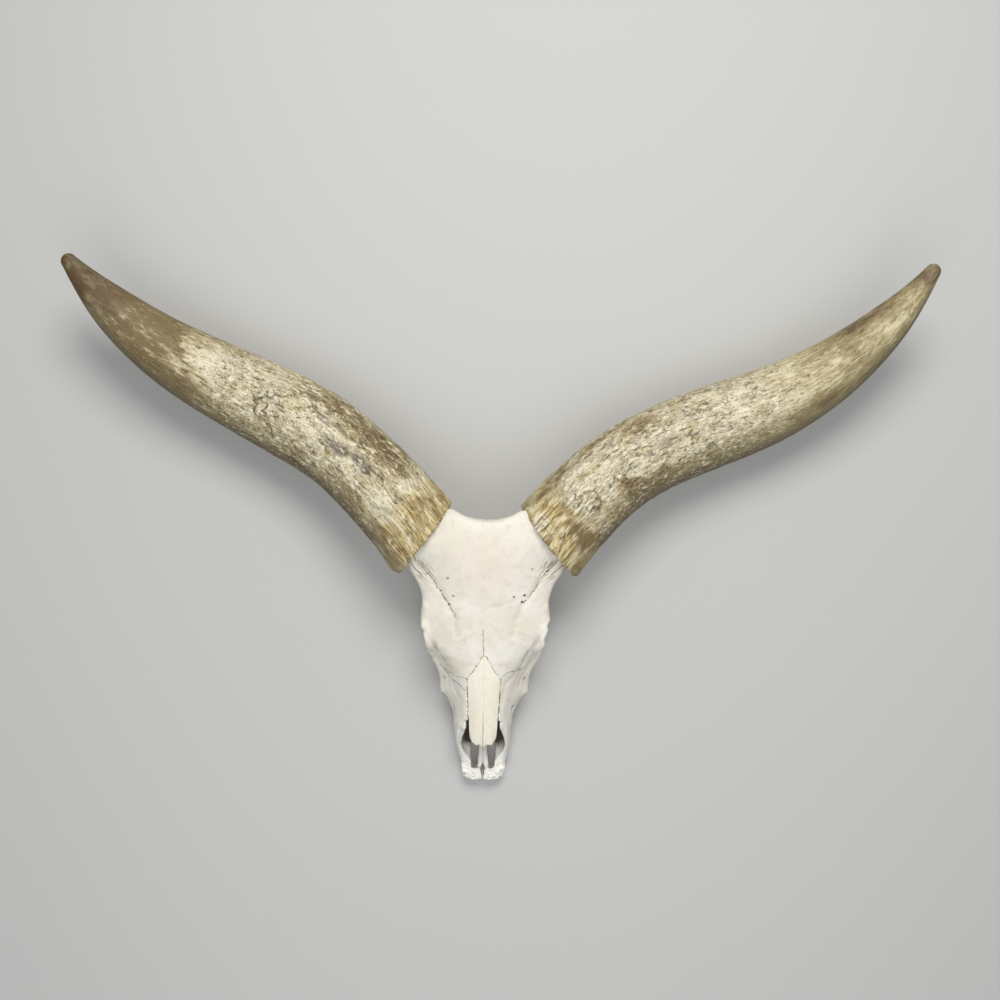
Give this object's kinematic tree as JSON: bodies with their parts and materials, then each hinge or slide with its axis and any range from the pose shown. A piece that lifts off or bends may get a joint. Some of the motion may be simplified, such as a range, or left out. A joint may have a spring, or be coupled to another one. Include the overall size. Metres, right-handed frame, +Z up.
{
  "type": "ankole-watusi skull with horns",
  "caption": "Watusi ox skull with its large spreading horn sheaths and no lower jaw, lying face up on its cheek teeth and on the low bends of its horns.",
  "frame": {"origin": "middle of the bounding box in plan, at its lowest level, which is the surface that the skull lies on", "axes": "+X towards the animal's left along the spread of the horns, -Y towards the nose, +Z up out of the forehead's side"},
  "size_m": [1.4482, 0.8968, 0.2035],
  "materials": {
    "bone": "bleached, dry, matte bone",
    "nasal_bone": "bleached bone, a little yellower",
    "horn": "keratin, flaking and rough near the skull, smoother and slightly glossy towards the tip"
  },
  "bodies": {
    "root": {"cranium": "bone", "nasal_left": "nasal_bone", "nasal_right": "nasal_bone", "premaxilla_left": "bone", "premaxilla_right": "bone", "horn_left": "horn", "horn_right": "horn"}
  },
  "joints": []
}
